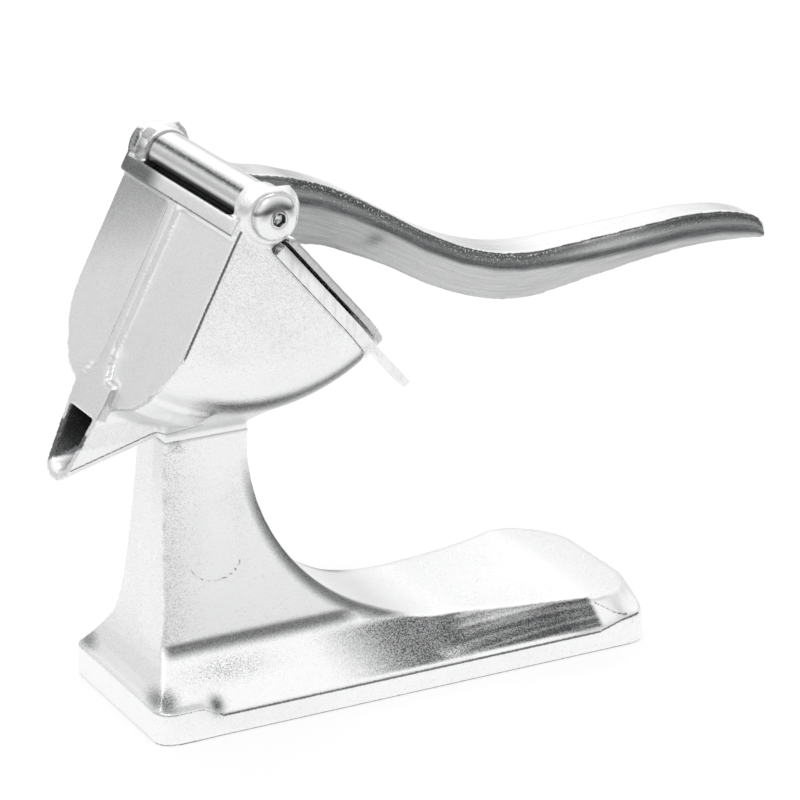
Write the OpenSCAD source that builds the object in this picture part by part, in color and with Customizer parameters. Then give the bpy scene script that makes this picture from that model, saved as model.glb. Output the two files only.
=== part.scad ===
// Lever-operated citrus press. A low base with a column carries a hopper with a
// spout. A lift-out strainer and a press lever swing on the hopper's hinge pin.
// The origin is the centre of the base's underside, +X runs from spout to handle.

/* [Base] */
// Length of the base plate
base_l = 233.6; // [220:0.1:250]
// Width of the base plate
base_w = 90; // [86:0.5:96]
// Height of the plate along its long edges
edge_z = 10; // [8:0.5:12]
// Height of the raised pads at the plate's ends
pad_z = 14.6; // [12:0.1:16]
// Corner radius of the plate
base_r = 8; // [4:0.5:12]
// Height of the deck behind the column
deck_z = 26.5; // [24:0.5:29]
// Radius of the curve from the deck up to the column
sweep_r = 85; // [80:1:88]
// Thickness of the casting's walls
wall = 5; // [4:0.5:6]

/* [Column] */
// Height of the seat that the hopper stands on
seat_z = 120; // [118:0.5:121]
// Half-width of the column at the seat
seat_half = 13.8; // [13:0.1:15]
// Half-width of the column where it meets the shoulder
foot_half = 24.6; // [22:0.1:25]
// Height of the ridge where column and shoulder meet
ridge_z = 33; // [30:0.5:36]
// X of the column's front face at the seat
front_x = -98.2; // [-100:0.1:-97]
// X of the column's rear face at the seat
rear_x = -60; // [-62:0.5:-59]
// Thickness of the column's top wall
web_t = 12; // [10:0.5:14]

/* [Hinge] */
// X of the hinge axis
hinge_x = -68.2; // [-70:0.1:-66]
// Height of the hinge axis above the seat
hinge_h = 104.2; // [104:0.1:106]
// Radius of the hinge sleeve
pin_r = 6.5; // [5:0.1:7]
// Radial clearance of the sleeve in its bores
pin_gap = 0.05; // [0.02:0.01:0.09]
// Radius of the ears around the hinge
ear_r = 10.8; // [10.2:0.1:11]
// Distance from the centre plane to an ear's inner face
ear_in = 42; // [41:0.5:44]
// Height of each boss over the hopper's side
boss_h = 3.4; // [2.6:0.1:5]
// Radius of the foot of each boss
boss_r = 14.3; // [12:0.1:15]
// Radius of the domed screw heads
head_r = 9.75; // [8:0.05:10.5]
// Height of the domed screw heads
head_h = 5.5; // [4:0.1:6.5]
// Across-flats size of the hinge screw's socket
hinge_socket = 6; // [5:0.5:7]
// Radius of the hinge screw's shank
shank_r = 4; // [3:0.5:4.5]
// Depth that the shank reaches into the sleeve
shank_l = 28; // [20:1:40]

/* [Hopper] */
// Outer radius of the hopper about the hinge axis
hopper_r = 92; // [90:0.5:93]
// Half-width of the hopper
hopper_half = 53; // [51:0.5:53]
// Radius of the hopper's lower corners
hopper_c = 30; // [28:1:31]
// Angle of the front wall down from the hinge
front_a = -117.4; // [-118:0.1:-116]
// Angle of the hopper's mouth down from the hinge
mouth_a = -49.5; // [-51:0.1:-48]
// Distance of the front panels from the hinge axis
panel_p = 9.5; // [9:0.1:9.8]
// Height of the rib and the top band over the panels
rib_h = 2.9; // [1.5:0.1:3.5]
// Half-width of the centre rib
rib_half = 3.4; // [3:0.1:5]
// Distance of the hopper's rim plane from the hinge axis
rim_d = 9.3; // [9:0.1:10]

/* [Spout] */
// Upward slope of the spout's floor towards the hopper
spout_slope = 15; // [13:0.5:16]
// Half-width of the spout at its top
spout_top = 15.4; // [14:0.1:16]
// Half-width of the spout above its round floor
spout_low = 10.4; // [9:0.1:11]
// Thickness of the spout's walls
spout_t = 2.7; // [2.4:0.1:3]

/* [Strainer] */
// Outer radius of the strainer's basket
basket_r = 81; // [80:0.5:82]
// Half-width of the basket
basket_half = 44; // [42:0.5:45]
// Thickness of the basket's sheet
basket_t = 2; // [1.5:0.1:2.5]
// Thickness of the strainer's rim flange
flange_t = 5.4; // [4:0.1:5.6]
// Width of each slot
slot_w = 2.5; // [2:0.1:3]
// Spacing of the slots
slot_step = 6; // [5.5:0.1:7]
// Reach of the pull tab from the hinge axis
tab_end = 107.5; // [100:0.5:109]
// Thickness of the pull tab
tab_t = 2.8; // [2:0.1:4]

/* [Press lever] */
// Radius of the lever's barrel
barrel_r = 9.5; // [9:0.1:10]
// Gap between the barrel and the top of the hopper's front wall
barrel_gap = 1; // [0.6:0.1:1.5]
// Thickness of the presser plate
presser_t = 3.2; // [3:0.1:4]
// Gap between the presser plate and the strainer's flange
presser_gap = 1.6; // [1:0.1:2]
// Radius that the pressing ribs reach
rib_reach = 76; // [70:0.5:77]
// Angle that the pressing ribs fill
rib_angle = 30; // [20:1:32]
// Thickness of each pressing rib
rib_t = 4; // [3:0.5:5]

/* [Column screws] */
// X of the front screw and of the rear screw
screw_x = [-84, -72]; // [-86:0.5:-70]
// Radius of a column screw's shank
screw_r = 3; // [2.5:0.5:3]
// Length of a column screw's shank
screw_l = 25; // [22:1:26]
// Radius of a column screw's head
screw_head_r = 5; // [4.5:0.1:5.2]
// Height of a column screw's head
screw_head_h = 6; // [5:0.5:6]
// Outer radius of a washer
washer_r = 5.8; // [5.5:0.1:5.9]
// Thickness of a washer
washer_t = 1.6; // [1:0.1:2]

/* [Hidden] */
$fn = 96;
half_w = base_w / 2;
half_l = base_l / 2;
web_z = seat_z - web_t;
hinge_z = seat_z + hinge_h;
boss_out = hopper_half + boss_h;   // distance from the centre plane to a boss's outer face
neck_z = seat_z + 20;              // where the neck ends inside the hopper's wall
big = 300;
deck_x = rear_x + sweep_r;         // where the sweep leaves the deck
deck_in = 0.8;                     // the deck's sides stand back from the plate's edge
flange_d = 15;                     // first part of both plates, clear of the ears
tab_y = -42.75;                    // side offset and half-width of the pull tab
tab_half = 4.75;
rib_step = 16;                     // spacing of the pressing ribs
head_t = 9;                        // thickness of the solid head that the ribs stand on
basket_clear = 17.5;               // the basket's sides start clear of the ears
flange_top = rim_d - flange_t;     // distance of the flange's upper face from the axis
presser_low = flange_top - presser_gap;
presser_top = presser_low - presser_t;
inner_p = panel_p - wall;          // inner face of the front wall
basket_p = inner_p - 3;            // outer face of the basket's front
floor_slope = 0.073;               // drain slope of the hopper's floor
floor_z = -82.23;                  // height of the hopper's floor below the axis
spout_crease = -88.4;              // height of the spout's lower creases across its slope
spout_floor = -93;                 // height of the spout's underside across its slope
drain_end = -45.5;                 // inner end of the drain along the spout's slope
hole_r = screw_r + 0.3;            // clearance holes in the column's top
tap_r = screw_r + 0.05;            // threaded holes in the hopper's foot
tap_z = seat_z + 14;               // top of the threaded holes
past_r = 2 * hopper_r;             // half-length of an outline that runs past the hopper

// Sections of the deck: x, height at the sides, half-width and height of its crest
flare_x = half_l - 36;             // where the deck starts to flare to full width
function deck_at(share) = deck_x + share * (flare_x - deck_x);
deck = [
    [deck_x - 1, edge_z, half_w - 15, deck_z],
    [deck_at(0.16), edge_z, half_w - 13.1, deck_z - 0.2],
    [deck_at(0.34), edge_z, half_w - 11, deck_z - 0.6],
    [deck_at(0.59), edge_z, half_w - 8.4, deck_z - 0.9],
    [deck_at(0.82), edge_z, half_w - 5.8, deck_z - 0.9],
    [flare_x, edge_z, half_w - 2.8, deck_z - 0.6],
    [half_l - 31.5, edge_z, half_w - 1.6, deck_z - 0.3],
    [half_l - 27.5, deck_z - 2.8, half_w - 1, deck_z - 0.1],
    [half_l - 22, deck_z - 6.2, half_w - 1.8, deck_z - 0.2],
    [half_l - 17, pad_z + 2.2, half_w - 4, deck_z - 0.4],
    [half_l - 12, pad_z + 0.4, half_w - 7.5, deck_z - 0.7],
    [half_l - 7, pad_z, half_w - 13, deck_z - 1],
    [half_l - 3, pad_z - 0.1, half_w - 20, deck_z - 1.4],
    [half_l, pad_z - 0.2, half_w - 27, deck_z - 1.7]
];

// Sections of the lever's arm: x, top, underside, half-width
arm = [
    [7, 5.5, -7, 9.6],
    [15, 2.6, -16, 9.8],
    [24.5, 0.8, -28, 10],
    [33, -1.6, -30, 10.3],
    [44, -5.4, -32, 10.8],
    [57, -11.5, -37.3, 11.5],
    [74, -21.7, -45.1, 12.3],
    [91.5, -32.5, -55.1, 12.9],
    [109, -41.3, -62.9, 13],
    [125, -46.6, -67.6, 13],
    [138, -48.8, -69.4, 12.6],
    [150, -49.4, -69, 12],
    [166, -48.6, -66.8, 11.3],
    [184, -47.6, -64.4, 10.6],
    [203, -46.5, -62, 9.9],
    [222, -45.5, -60.4, 9.4],
    [240, -46.5, -60.2, 9.1],
    [252, -49, -60.9, 8.8],
    [258.5, -51.6, -61.6, 8.4],
    [262.5, -55, -62.2, 7.8],
    [264.3, -59, -62.6, 7]
];

function column_half(z) =
    seat_half + (foot_half - seat_half) * pow((seat_z - z) / (seat_z - ridge_z), 1.6);
function front_at(z) =
    front_x - 0.0725 * (seat_z - z) - (z < 51 ? 9.5 * pow((51 - z) / 36, 2.2) : 0);
function catmull(a, b, c, d, t) =
    0.5 * (2 * b + (c - a) * t + (2 * a - 5 * b + 4 * c - d) * t * t
        + (3 * b - a - 3 * c + d) * t * t * t);
function arm_at(i, t) = catmull(arm[max(i - 1, 0)], arm[i], arm[i + 1],
    arm[min(i + 2, len(arm) - 1)], t);

module at_hinge() {
    translate([hinge_x, 0, hinge_z]) children();
}

// Local X along angle a in the side view, local Z square to it
module turned(a) {
    at_hinge() rotate([0, -a, 0]) children();
}

// A flat plate square to the side view, drawn from above
module plate_on(a, z0, z1) {
    turned(a) translate([0, 0, z0]) linear_extrude(z1 - z0) children();
}

// An outline in the side view, extruded to both sides of the centre plane
module side_solid(width) {
    rotate([90, 0, 0]) linear_extrude(width, center = true) children();
}

// An outline in the end view, extruded along X
module end_solid(x0, x1) {
    translate([x0, 0, 0]) rotate([90, 0, 90]) linear_extrude(x1 - x0) children();
}

// An outline of radius and side offset, swept about the hinge axis
module sector(a0, a1) {
    at_hinge() rotate([90, 0, 0]) rotate([0, 0, a0]) rotate_extrude(angle = a1 - a0) children();
}

// A round bar along Y between two side offsets
module cross_bar(r, y0, y1) {
    translate([hinge_x, y1, hinge_z]) rotate([90, 0, 0]) cylinder(r = r, h = y1 - y0);
}

module both_sides() {
    children();
    mirror([0, 1, 0]) children();
}

module u_shape(r, half, corner) {
    translate([0, -half]) square([r - corner, 2 * half]);
    translate([0, corner - half]) square([r, 2 * (half - corner)]);
    for (s = [-1, 1]) {
        translate([r - corner, s * (half - corner)]) circle(corner);
    }
}

module round_plate(l, w, r) {
    square([l, w - 2 * r], center = true);
    square([l - 2 * r, w], center = true);
    for (sx = [-1, 1], sy = [-1, 1]) {
        translate([sx * (l / 2 - r), sy * (w / 2 - r)]) circle(r);
    }
}

// Side view of the column, its sweep and the deck
module tower_side() {
    steps = [for (z = [15:6:51]) z];
    difference() {
        polygon(concat(
            [[-half_l, 0], [-half_l, 14]],
            [for (z = steps) [front_at(z), z]],
            [[front_at(seat_z), seat_z], [rear_x, seat_z], [rear_x, sweep_r + deck_z]],
            [[deck_x, sweep_r + deck_z], [deck_x, deck_z], [deck[2][0], deck_z], [deck[2][0], 0]]
        ));
        translate([deck_x, sweep_r + deck_z]) circle(sweep_r, $fn = 180);
    }
}

module tower_end() {
    zs = concat([for (z = [ridge_z + 0.5:8:seat_z - 6]) z], [seat_z]);
    right = concat([[half_w, 0], [half_w, edge_z], [25, ridge_z]],
        [for (z = zs) [column_half(z), z]]);
    left = [for (i = [len(right) - 1:-1:0]) [-right[i][0], right[i][1]]];
    polygon(concat(right, left));
}

// Side and end views of the hollow inside the tower
module hollow_side() {
    difference() {
        polygon([
            [front_at(15) + wall + 3, -1], [front_at(21) + wall + 2, 21],
            [front_at(45) + wall, 45], [front_at(web_z) + wall, web_z],
            [deck_x, web_z], [deck_x, deck_z - wall], [98, deck_z - wall - 2], [98, -1]
        ]);
        translate([deck_x, sweep_r + deck_z]) circle(sweep_r + wall, $fn = 180);
    }
}

module hollow_end() {
    zs = concat([for (z = [ridge_z:8:web_z - 4]) z], [web_z]);
    right = concat([[half_w - 11, -1], [half_w - 11, edge_z - 4], [20, ridge_z - 5]],
        [for (z = zs) [column_half(z) - wall, z]]);
    left = [for (i = [len(right) - 1:-1:0]) [-right[i][0], right[i][1]]];
    polygon(concat(right, left));
}

// The plate with its raised ends
module base_plate() {
    intersection() {
        linear_extrude(pad_z + 1) round_plate(base_l, base_w, base_r);
        side_solid(base_w + 2) polygon([
            [-half_l, 0], [-half_l, pad_z], [-97, pad_z], [-88, edge_z],
            [92, edge_z], [103, pad_z - 1.3], [113, pad_z], [half_l, pad_z], [half_l, 0]
        ]);
    }
}

// The deck behind the column, lofted through its sections
module deck_loft() {
    m = len(deck);
    n = 6;
    side = half_w - deck_in;
    rings = [for (d = deck) [
        [d[0], -side, 4], [d[0], -side, d[1]], [d[0], -d[2], d[3]],
        [d[0], d[2], d[3]], [d[0], side, d[1]], [d[0], side, 4]
    ]];
    intersection() {
        polyhedron(
            [for (ring = rings, point = ring) point],
            concat(
                [[for (k = [n - 1:-1:0]) k]],
                [for (i = [0:m - 2], k = [0:n - 1], half = [0, 1])
                    let (a = i * n + k, b = i * n + (k + 1) % n)
                    half == 0 ? [a, b, a + n] : [b, b + n, a + n]],
                [[for (k = [0:n - 1]) (m - 1) * n + k]]
            )
        );
        linear_extrude(ridge_z) round_plate(base_l - 2 * deck_in, base_w - deck_in, base_r);
    }
}

module base() {
    color([0.80, 0.80, 0.81]) difference() {
        union() {
            base_plate();
            intersection() {
                side_solid(base_w + 2) tower_side();
                end_solid(-half_l, 30) tower_end();
                linear_extrude(seat_z + 1) round_plate(base_l, base_w, base_r);
            }
            deck_loft();
        }
        difference() {
            union() {
                translate([0, 0, -1]) linear_extrude(edge_z - 3.5)
                    round_plate(base_l - 2 * wall, base_w - 2 * wall, base_r - 3);
                intersection() {
                    side_solid(base_w) hollow_side();
                    end_solid(-half_l, half_l) hollow_end();
                }
            }
            translate([-wall / 2, -half_w, -2]) cube([wall, base_w, deck_z + 10]);
        }
        for (x = screw_x) {
            translate([x, 0, web_z - 1]) cylinder(r = hole_r, h = web_t + 2);
        }
    }
}

// Everything behind the front wall's panels and below the hopper's mouth
module hopper_wedge() {
    intersection() {
        sector(-155, -15) u_shape(hopper_r, hopper_half, hopper_c);
        plate_on(front_a, -panel_p, big) translate([-big, -big]) square(2 * big);
        plate_on(mouth_a, -big, -rim_d) translate([-big, -big]) square(2 * big);
    }
}

// The keel that widens the hopper's underside into the spout
module keel() {
    intersection() {
        sector(-127, -104) polygon([
            [70, -44], [88, -41], [95, -32], [99.4, -19], [101, -spout_top],
            [101, spout_top], [99.4, 19], [95, 32], [88, 41], [70, 44]
        ]);
        plate_on(front_a, -panel_p, big) translate([-big, -big]) square(2 * big);
    }
}

// Band, rib and flare that stand proud of the front panels
module front_relief() {
    plate_on(front_a, -panel_p - rib_h, -panel_p + 1) {
        translate([7, -hopper_half]) square([7, 2 * hopper_half]);
        translate([10, -rib_half]) square([70, 2 * rib_half]);
        polygon([
            [76, -rib_half], [84, -5.2], [92, -9], [98, -13], [101, -spout_top],
            [101, spout_top], [98, 13], [92, 9], [84, 5.2], [76, rib_half]
        ]);
    }
}

// Round-bottomed trough across the spout's slope
function trough(top, top_z, low, low_z, depth) = concat(
    [[-top, top_z]],
    [for (a = [180:18:360]) [low * cos(a), low_z + depth * sin(a)]],
    [[top, top_z]]
);

module spout_prism(l0, l1) {
    turned(spout_slope) translate([l0, 0, 0]) rotate([90, 0, 90]) linear_extrude(l1 - l0)
        children();
}

module spout_body() {
    translate([-spout_top, -66.5]) square([2 * spout_top, 7]);
    polygon(trough(spout_top, -66.4, spout_low, spout_crease, spout_crease - spout_floor));
}

module drain_section() {
    polygon(trough(
        spout_top - 1.7 * spout_t, -70.5, spout_low - spout_t, spout_crease + 2,
        spout_crease + 2 - spout_floor - spout_t
    ));
}

module spout() {
    intersection() {
        spout_prism(-112, -38) spout_body();
        plate_on(front_a, -panel_p - rib_h, big) translate([-big, -big]) square(2 * big);
    }
}

// The foot that flares from the seat up to the hopper's underside
module neck() {
    foot = seat_half - 0.1;
    intersection() {
        end_solid(-120, -40) polygon([
            [-foot, seat_z], [foot, seat_z], [foot, seat_z + 3.2], [foot + 4.5, seat_z + 6],
            [foot + 11, seat_z + 10.5], [38, neck_z], [-38, neck_z],
            [-foot - 11, seat_z + 10.5], [-foot - 4.5, seat_z + 6], [-foot, seat_z + 3.2]
        ]);
        side_solid(80) polygon([
            [front_x + 0.3, seat_z], [rear_x - 0.6, seat_z], [rear_x, seat_z + 3],
            [rear_x + 3, seat_z + 8], [rear_x + 10, seat_z + 14], [rear_x + 10, neck_z],
            [front_x - 7.8, neck_z], [front_x - 2.8, seat_z + 10]
        ]);
    }
}

// The hollow that the strainer hangs in, with a floor that falls to the drain
module hopper_hollow() {
    intersection() {
        sector(-155, 20) u_shape(hopper_r - wall, hopper_half - wall, hopper_c - wall);
        plate_on(front_a, -inner_p, big) translate([-big, -big]) square(2 * big);
        at_hinge() side_solid(4 * hopper_half) polygon([
            [-past_r, floor_z - past_r * floor_slope], [past_r, floor_z + past_r * floor_slope],
            [past_r, past_r], [-past_r, past_r]
        ]);
    }
}

module ear() {
    lug = ear_r;
    intersection() {
        union() {
            cross_bar(lug, ear_in, boss_out);
            at_hinge() translate([0, boss_out - 5.4, 0]) rotate([-90, 0, 0])
                cylinder(r1 = boss_r, r2 = lug, h = 5.4);
            translate([0, (ear_in + hopper_half - 1) / 2, 0]) side_solid(hopper_half - 1 - ear_in)
                translate([hinge_x, hinge_z]) polygon([
                    [-6, 4], [-12, -4.5], [-8.5, -14], [-1, -16.5], [3.2, -13], [4, -6]
                ]);
        }
        translate([-big, 0, 0]) cube([2 * big, big, hinge_z + lug]);
    }
}

module hopper() {
    color([0.80, 0.80, 0.81]) difference() {
        union() {
            difference() {
                union() {
                    hopper_wedge();
                    keel();
                    front_relief();
                    spout();
                    neck();
                }
                hopper_hollow();
                spout_prism(-125, drain_end) drain_section();
                cross_bar(barrel_r + barrel_gap, -ear_in, ear_in);
            }
            both_sides() ear();
        }
        cross_bar(pin_r + pin_gap, -boss_out - 1, boss_out + 1);
        for (x = screw_x) {
            translate([x, 0, seat_z - 1]) cylinder(r = tap_r, h = tap_z - seat_z + 1);
        }
    }
}

module basket_solid(t) {
    intersection() {
        sector(-155, -15) u_shape(basket_r - t, basket_half - t, 22 - t);
        plate_on(front_a, t - basket_p, big) translate([-big, -big]) square(2 * big);
        plate_on(mouth_a, -big, -flange_top + (t ? 1 : 0)) translate([-big, -big]) square(2 * big);
    }
}

module strainer() {
    slots = [-3:3];
    color([0.84, 0.84, 0.85]) difference() {
        union() {
            plate_on(mouth_a, -rim_d, -flange_top) intersection() {
                u_shape(hopper_r, hopper_half, hopper_c);
                translate([flange_d, -60]) square([100, 120]);
            }
            plate_on(mouth_a, -flange_top - tab_t, -flange_top) {
                translate([70, tab_y - tab_half]) square([tab_end - tab_half - 70, 2 * tab_half]);
                translate([tab_end - tab_half, tab_y]) circle(tab_half);
            }
            difference() {
                basket_solid(0);
                cross_bar(basket_clear, -60, 60);
            }
        }
        basket_solid(basket_t);
        for (i = slots) {
            sector(-112, -62) translate([basket_r - 6, i * slot_step - slot_w / 2])
                square([10, slot_w]);
            plate_on(front_a, -basket_p - 1, -basket_p + basket_t + 1)
                translate([24, i * slot_step - slot_w / 2]) square([44, slot_w]);
        }
    }
}

// The arm: its side view and its plan view, crossed
module arm_solid() {
    sub = 3;
    stations = concat(
        [for (i = [0:len(arm) - 2], k = [0:sub - 1]) arm_at(i, k / sub)],
        [arm[len(arm) - 1]]
    );
    m = len(stations);
    intersection() {
        at_hinge() side_solid(40) polygon(concat(
            [for (i = [0:m - 1]) [stations[i][0], stations[i][1]]],
            [for (i = [m - 1:-1:0]) [stations[i][0], stations[i][2]]]
        ));
        at_hinge() translate([0, 0, -90]) linear_extrude(120) polygon(concat(
            [for (i = [0:len(arm) - 1]) [arm[i][0] + (i == 0 ? -1 : 0.01), arm[i][3]]],
            [for (i = [len(arm) - 1:-1:0]) [arm[i][0] + (i == 0 ? -1 : 0.01), -arm[i][3]]]
        ));
    }
}

// One rib under the presser plate, a wedge between two radii
module pressing_rib(y, reach) {
    arc = [for (k = [0:8]) mouth_a - rib_angle + k * (rib_angle - 1) / 8];
    translate([0, y, 0]) at_hinge() side_solid(rib_t) polygon(concat(
        [for (a = arc) [reach * cos(a), reach * sin(a)]],
        [for (i = [8:-4:0]) [14 * cos(arc[i]), 14 * sin(arc[i])]]
    ));
}

module press_lever() {
    head_half = basket_half - basket_t - 2;
    color([0.78, 0.78, 0.79]) difference() {
        union() {
            cross_bar(barrel_r, -ear_in + 0.3, ear_in - 0.3);
            plate_on(mouth_a, -presser_low, -presser_top) union() {
                intersection() {
                    u_shape(hopper_r, hopper_half, hopper_c);
                    translate([flange_d, -60]) square([100, 120]);
                }
                translate([0, -ear_in + 0.3]) square([20, 2 * ear_in - 0.6]);
            }
            arm_solid();
            for (i = [-2:2]) {
                pressing_rib(i * rib_step, abs(i) == 2 ? rib_reach - 7 : rib_reach);
            }
            plate_on(mouth_a, -presser_low - head_t, -presser_low + 1) intersection() {
                u_shape(rib_reach - 1, head_half, 19);
                translate([20, -60]) square([80, 120]);
            }
        }
        cross_bar(pin_r + pin_gap, -ear_in - 1, ear_in + 1);
    }
}

// A domed button head whose flat face is at the origin, dome towards +Z
module dome_head(socket) {
    dome_r = (head_r * head_r + (head_h - 1) * (head_h - 1)) / (2 * (head_h - 1));
    difference() {
        intersection() {
            cylinder(r = head_r, h = head_h);
            translate([0, 0, head_h - dome_r]) sphere(r = dome_r);
        }
        translate([0, 0, head_h - 3]) cylinder(d = socket / cos(30), h = 4, $fn = 6);
    }
}

module hinge_screw() {
    color([0.74, 0.74, 0.76]) {
        at_hinge() translate([0, -boss_out, 0]) rotate([90, 0, 0]) dome_head(hinge_socket);
        cross_bar(shank_r, -boss_out, -boss_out + shank_l);
    }
}

module hinge_sleeve() {
    color([0.74, 0.74, 0.76]) difference() {
        union() {
            at_hinge() translate([0, boss_out, 0]) rotate([-90, 0, 0]) dome_head(hinge_socket);
            cross_bar(pin_r, -boss_out + 1, boss_out);
        }
        cross_bar(shank_r + pin_gap, -boss_out, -boss_out + shank_l + 3);
    }
}

module column_screws() {
    low = web_z - washer_t;
    color([0.62, 0.63, 0.65]) for (x = screw_x) {
        translate([x, 0, low]) cylinder(r = screw_r, h = screw_l);
        difference() {
            translate([x, 0, low - screw_head_h]) cylinder(r = screw_head_r, h = screw_head_h);
            translate([x, 0, low - screw_head_h - 1]) cylinder(d = 5 / cos(30), h = 4, $fn = 6);
        }
    }
}

module column_washers() {
    color([0.66, 0.67, 0.69]) for (x = screw_x) {
        translate([x, 0, web_z - washer_t]) difference() {
            cylinder(r = washer_r, h = washer_t);
            translate([0, 0, -1]) cylinder(r = hole_r, h = washer_t + 2);
        }
    }
}

base();
hopper();
strainer();
press_lever();
hinge_screw();
hinge_sleeve();
column_screws();
column_washers();
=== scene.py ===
import math

import bpy
import bmesh
import numpy as np
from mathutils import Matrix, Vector


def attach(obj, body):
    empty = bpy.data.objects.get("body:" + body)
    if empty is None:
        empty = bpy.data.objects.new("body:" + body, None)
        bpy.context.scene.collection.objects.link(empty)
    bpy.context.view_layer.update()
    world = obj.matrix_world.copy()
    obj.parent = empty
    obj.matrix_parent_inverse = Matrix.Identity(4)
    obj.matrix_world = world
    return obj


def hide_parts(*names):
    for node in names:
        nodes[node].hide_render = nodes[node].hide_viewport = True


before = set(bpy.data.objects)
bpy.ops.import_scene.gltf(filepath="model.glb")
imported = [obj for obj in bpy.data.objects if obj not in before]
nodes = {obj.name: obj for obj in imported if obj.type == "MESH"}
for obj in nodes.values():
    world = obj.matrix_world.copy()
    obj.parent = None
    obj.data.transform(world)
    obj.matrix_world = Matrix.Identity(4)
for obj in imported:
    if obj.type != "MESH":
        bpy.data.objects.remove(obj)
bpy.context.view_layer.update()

hinge = np.array([-0.0682, 0.0, 0.2242])  # the pin that lever, strainer and hopper share
hingeMm = hinge * 1000
print("frame loaded:", len(nodes), "nodes")


# shader expressions

class Wire:
    # one socket; an expression on wires adds its Math nodes
    def __init__(self, bench, socket):
        self.bench = bench
        self.socket = socket

    def combine(self, operation, first, second):
        # the operation's result on two wires or numbers
        node = self.bench.add("ShaderNodeMath", {"operation": operation}, {0: first, 1: second})
        return Wire(self.bench, node.outputs[0])

    def __add__(self, other): return self.combine("ADD", self, other)
    def __radd__(self, other): return self.combine("ADD", other, self)
    def __sub__(self, other): return self.combine("SUBTRACT", self, other)
    def __rsub__(self, other): return self.combine("SUBTRACT", other, self)
    def __mul__(self, other): return self.combine("MULTIPLY", self, other)
    def __rmul__(self, other): return self.combine("MULTIPLY", other, self)

    def atLeast(self, other): return self.combine("MAXIMUM", self, other)
    def atMost(self, other): return self.combine("MINIMUM", self, other)


class Bench:
    # the node tree of one material or world, with its output and the coordinates that patterns read
    def __init__(self, owner, output="ShaderNodeOutputMaterial", place="Object"):
        owner.use_nodes = True
        self.owner = owner
        self.tree = owner.node_tree
        self.tree.nodes.clear()
        self.output = self.add(output, {}, {})
        self.place = Wire(self, self.add("ShaderNodeTexCoord", {}, {}).outputs[place])

    def add(self, kind, settings, inputs):
        # a node from its type, its settings, and the values or wires of its sockets
        node = self.tree.nodes.new(kind)
        for key, value in settings.items():
            setattr(node, key, value)
        for key, value in inputs.items():
            if isinstance(value, Wire):
                self.tree.links.new(value.socket, node.inputs[key])
            else:
                node.inputs[key].default_value = value
        return node

    def noise(self, scale, detail, stretch=(1, 1, 1), rough=0.55, source=None):
        # fractal noise on the piece's own coordinates, stretched along their axes
        mapped = self.add("ShaderNodeMapping", {}, {"Vector": source or self.place, "Scale": stretch})
        node = self.add("ShaderNodeTexNoise", {}, {
            "Vector": Wire(self, mapped.outputs[0]), "Scale": scale, "Detail": detail, "Roughness": rough})
        return Wire(self, node.outputs[0])

    def painted(self, name, output="Fac"):
        # a value that the mesh carries from point to point
        node = self.add("ShaderNodeAttribute", {"attribute_name": name}, {})
        return Wire(self, node.outputs[output])

    def between(self, value, low, high):
        # 0 below low, 1 above high, smooth between
        node = self.add("ShaderNodeMapRange", {"interpolation_type": "SMOOTHSTEP"}, {
            "Value": value, "From Min": low, "From Max": high, "To Min": 0.0, "To Max": 1.0})
        return Wire(self, node.outputs[0])

    def blend(self, amount, first, second):
        # a colour between first and second
        node = self.add("ShaderNodeMix", {"data_type": "RGBA"}, {0: amount, 6: first, 7: second})
        return Wire(self, node.outputs[2])

    def bump(self, height, strength, distance):
        # a normal that leans with the slope of a height
        node = self.add("ShaderNodeBump", {}, {"Height": height, "Strength": strength, "Distance": distance})
        return Wire(self, node.outputs[0])

    def metal(self, colour, rough, normal, metallic=1.0):
        # a metal shader on the output
        node = self.add("ShaderNodeBsdfPrincipled", {}, {
            "Base Color": colour, "Roughness": rough, "Normal": normal, "Metallic": metallic})
        self.tree.links.new(node.outputs[0], self.output.inputs[0])
        return self.owner

    def rays(self, *kinds):
        # 1 where Light Path's ray is of the kind
        node = self.add("ShaderNodeLightPath", {}, {})
        return [Wire(self, node.outputs["Is " + kind + " Ray"]) for kind in kinds]


def grey(level, tint=0.0):
    # a grey, a little bluer for a positive tint
    return (level - tint, level, level + tint, 1.0)


# finishes

castGrain = {"cloudRange": (0.46, 0.80), "grainRange": (0.40, 0.64), "pitRange": (0.67, 0.73),
             "grainLeast": 0.08, "grainMost": 0.9, "pitDull": 0.25, "roughGrain": 0.25, "roughCloud": 0.2,
             "cloudHeight": 0.8, "pitHeight": 1.2}
brushing = {"cloudRange": (0.45, 0.8), "chipRange": (0.575, 0.63), "chipFollow": 0.4, "fineDepth": 0.35,
            "roughLines": 0.3, "cloudHeight": 0.4}


def inked(bench, line, fine, look):
    # a thin ragged line where the mesh's distance value comes down to zero
    width = look["lineWidth"]
    ragged = line + (fine - 0.5) * 1.2
    return (1.0 - bench.between(ragged, width * 0.5, width)) * look["ink"]


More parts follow.
